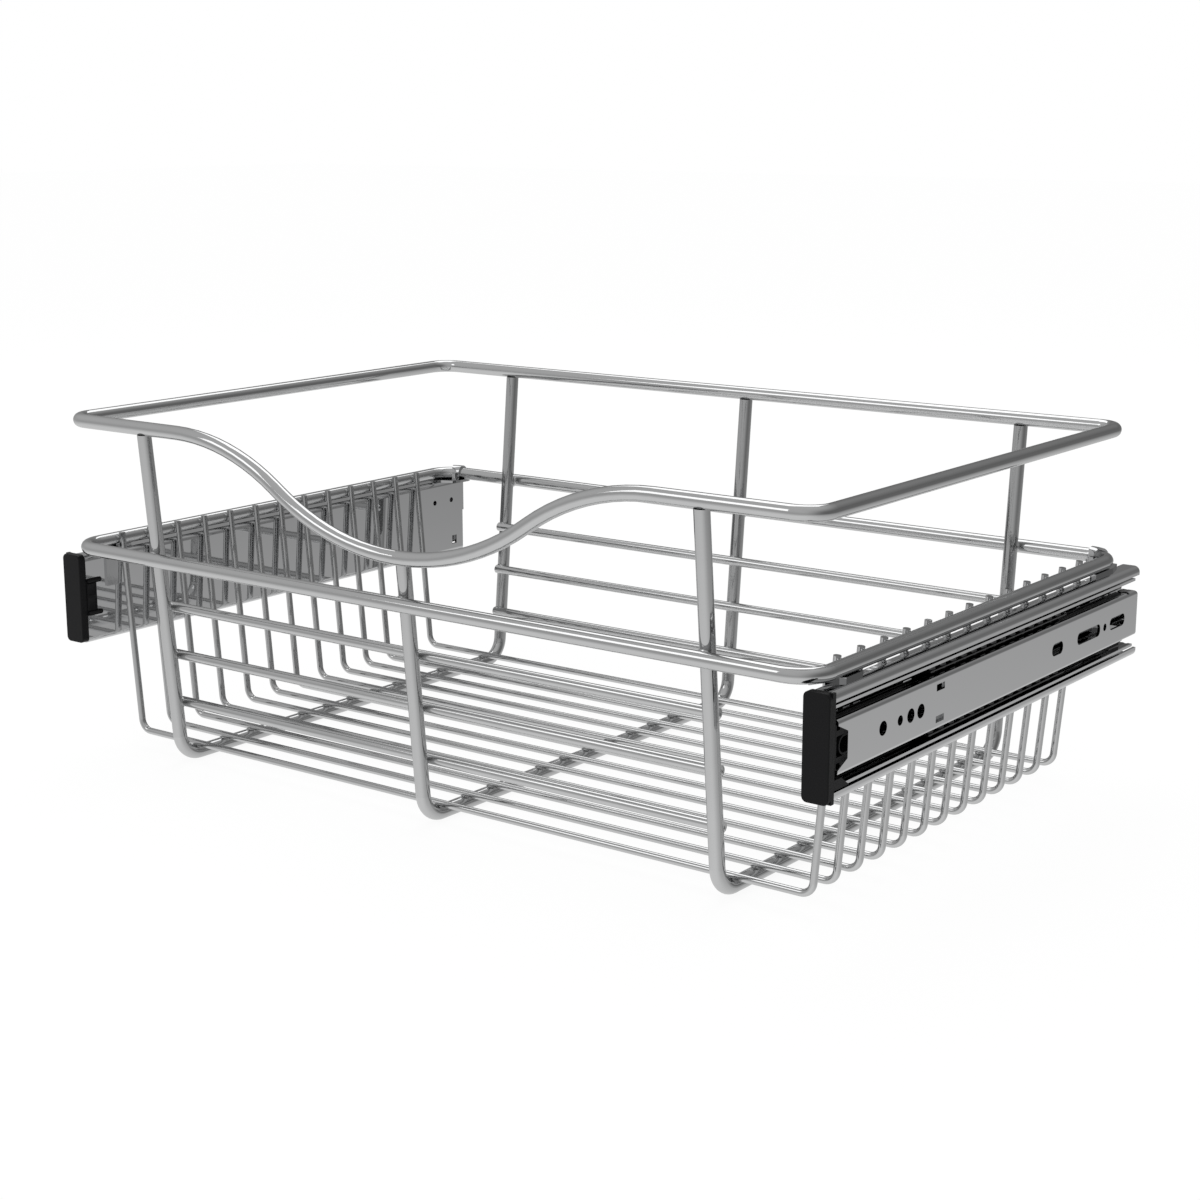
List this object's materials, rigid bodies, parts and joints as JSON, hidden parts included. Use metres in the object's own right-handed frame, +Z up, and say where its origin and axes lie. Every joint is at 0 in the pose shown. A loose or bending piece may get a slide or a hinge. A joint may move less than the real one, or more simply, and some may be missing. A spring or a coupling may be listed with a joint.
{
  "type": "pull-out wire basket",
  "caption": "Chrome wire basket with a double rim and a front hand dip, on a pair of full-extension ball slides that screw to the side walls of a cabinet.",
  "frame": {"origin": "middle of the bounding box in plan, at the height of the lowest wire", "axes": "+X to the right as seen from the front, -Y out of the cabinet towards the user, +Z up"},
  "size_m": [0.4572, 0.3048, 0.1784],
  "materials": {
    "chrome_wire": "polished",
    "slide_steel": "bright zinc plate",
    "bracket_steel": "polished",
    "ball_steel": "polished",
    "cage_steel": "plain",
    "black_plastic": "satin"
  },
  "bodies": {
    "cabinet_side": {"cabinet_member_right": "slide_steel", "cabinet_member_left": "slide_steel", "front_stop_right": "black_plastic", "front_stop_left": "black_plastic"},
    "basket": {"top_rim": "chrome_wire", "middle_rim": "chrome_wire", "frame_wire_left": "chrome_wire", "frame_wire_centre": "chrome_wire", "frame_wire_right": "chrome_wire", "front_wire_upper": "chrome_wire", "front_wire_middle": "chrome_wire", "front_wire_lower": "chrome_wire", "back_wire_upper": "chrome_wire", "back_wire_middle": "chrome_wire", "back_wire_lower": "chrome_wire", "cross_wire_01": "chrome_wire", "cross_wire_02": "chrome_wire", "cross_wire_03": "chrome_wire", "cross_wire_04": "chrome_wire", "cross_wire_05": "chrome_wire", "cross_wire_06": "chrome_wire", "cross_wire_07": "chrome_wire", "cross_wire_08": "chrome_wire", "cross_wire_09": "chrome_wire", "cross_wire_10": "chrome_wire", "cross_wire_11": "chrome_wire", "cross_wire_12": "chrome_wire", "cross_wire_13": "chrome_wire", "basket_member_right": "slide_steel", "basket_member_left": "slide_steel", "end_cap_right": "black_plastic", "end_cap_left": "black_plastic", "front_bracket_right": "bracket_steel", "front_bracket_left": "bracket_steel", "rear_bracket_right": "bracket_steel", "rear_bracket_left": "bracket_steel"},
    "middle_right": {"middle_member_right": "slide_steel", "front_bumper_right": "black_plastic"},
    "middle_left": {"middle_member_left": "slide_steel", "front_bumper_left": "black_plastic"},
    "inner_rows_right": {"inner_cage_right": "cage_steel", "inner_balls_right": "ball_steel"},
    "inner_rows_left": {"inner_cage_left": "cage_steel", "inner_balls_left": "ball_steel"},
    "outer_rows_right": {"outer_cage_right": "cage_steel", "outer_balls_right": "ball_steel"},
    "outer_rows_left": {"outer_cage_left": "cage_steel", "outer_balls_left": "ball_steel"}
  },
  "joints": [
    {"name": "basket_slide", "type": "slide", "parent": "cabinet_side", "child": "basket", "axis": [0, -1, 0], "range_m": [0, 0.3048]},
    {"name": "middle_right_slide", "type": "slide", "parent": "cabinet_side", "child": "middle_right", "axis": [0, -1, 0], "range_m": [0, 0.1524]},
    {"name": "middle_left_slide", "type": "slide", "parent": "cabinet_side", "child": "middle_left", "axis": [0, -1, 0], "range_m": [0, 0.1524]},
    {"name": "inner_rows_right_slide", "type": "slide", "parent": "cabinet_side", "child": "inner_rows_right", "axis": [0, -1, 0], "range_m": [0, 0.0762]},
    {"name": "inner_rows_left_slide", "type": "slide", "parent": "cabinet_side", "child": "inner_rows_left", "axis": [0, -1, 0], "range_m": [0, 0.0762]},
    {"name": "outer_rows_right_slide", "type": "slide", "parent": "cabinet_side", "child": "outer_rows_right", "axis": [0, -1, 0], "range_m": [0, 0.2286]},
    {"name": "outer_rows_left_slide", "type": "slide", "parent": "cabinet_side", "child": "outer_rows_left", "axis": [0, -1, 0], "range_m": [0, 0.2286]}
  ],
  "couplings": [
    {"joint": "middle_right_slide", "follows": "basket_slide", "ratio": 0.5},
    {"joint": "middle_left_slide", "follows": "basket_slide", "ratio": 0.5},
    {"joint": "inner_rows_right_slide", "follows": "basket_slide", "ratio": 0.25},
    {"joint": "inner_rows_left_slide", "follows": "basket_slide", "ratio": 0.25},
    {"joint": "outer_rows_right_slide", "follows": "basket_slide", "ratio": 0.75},
    {"joint": "outer_rows_left_slide", "follows": "basket_slide", "ratio": 0.75}
  ]
}
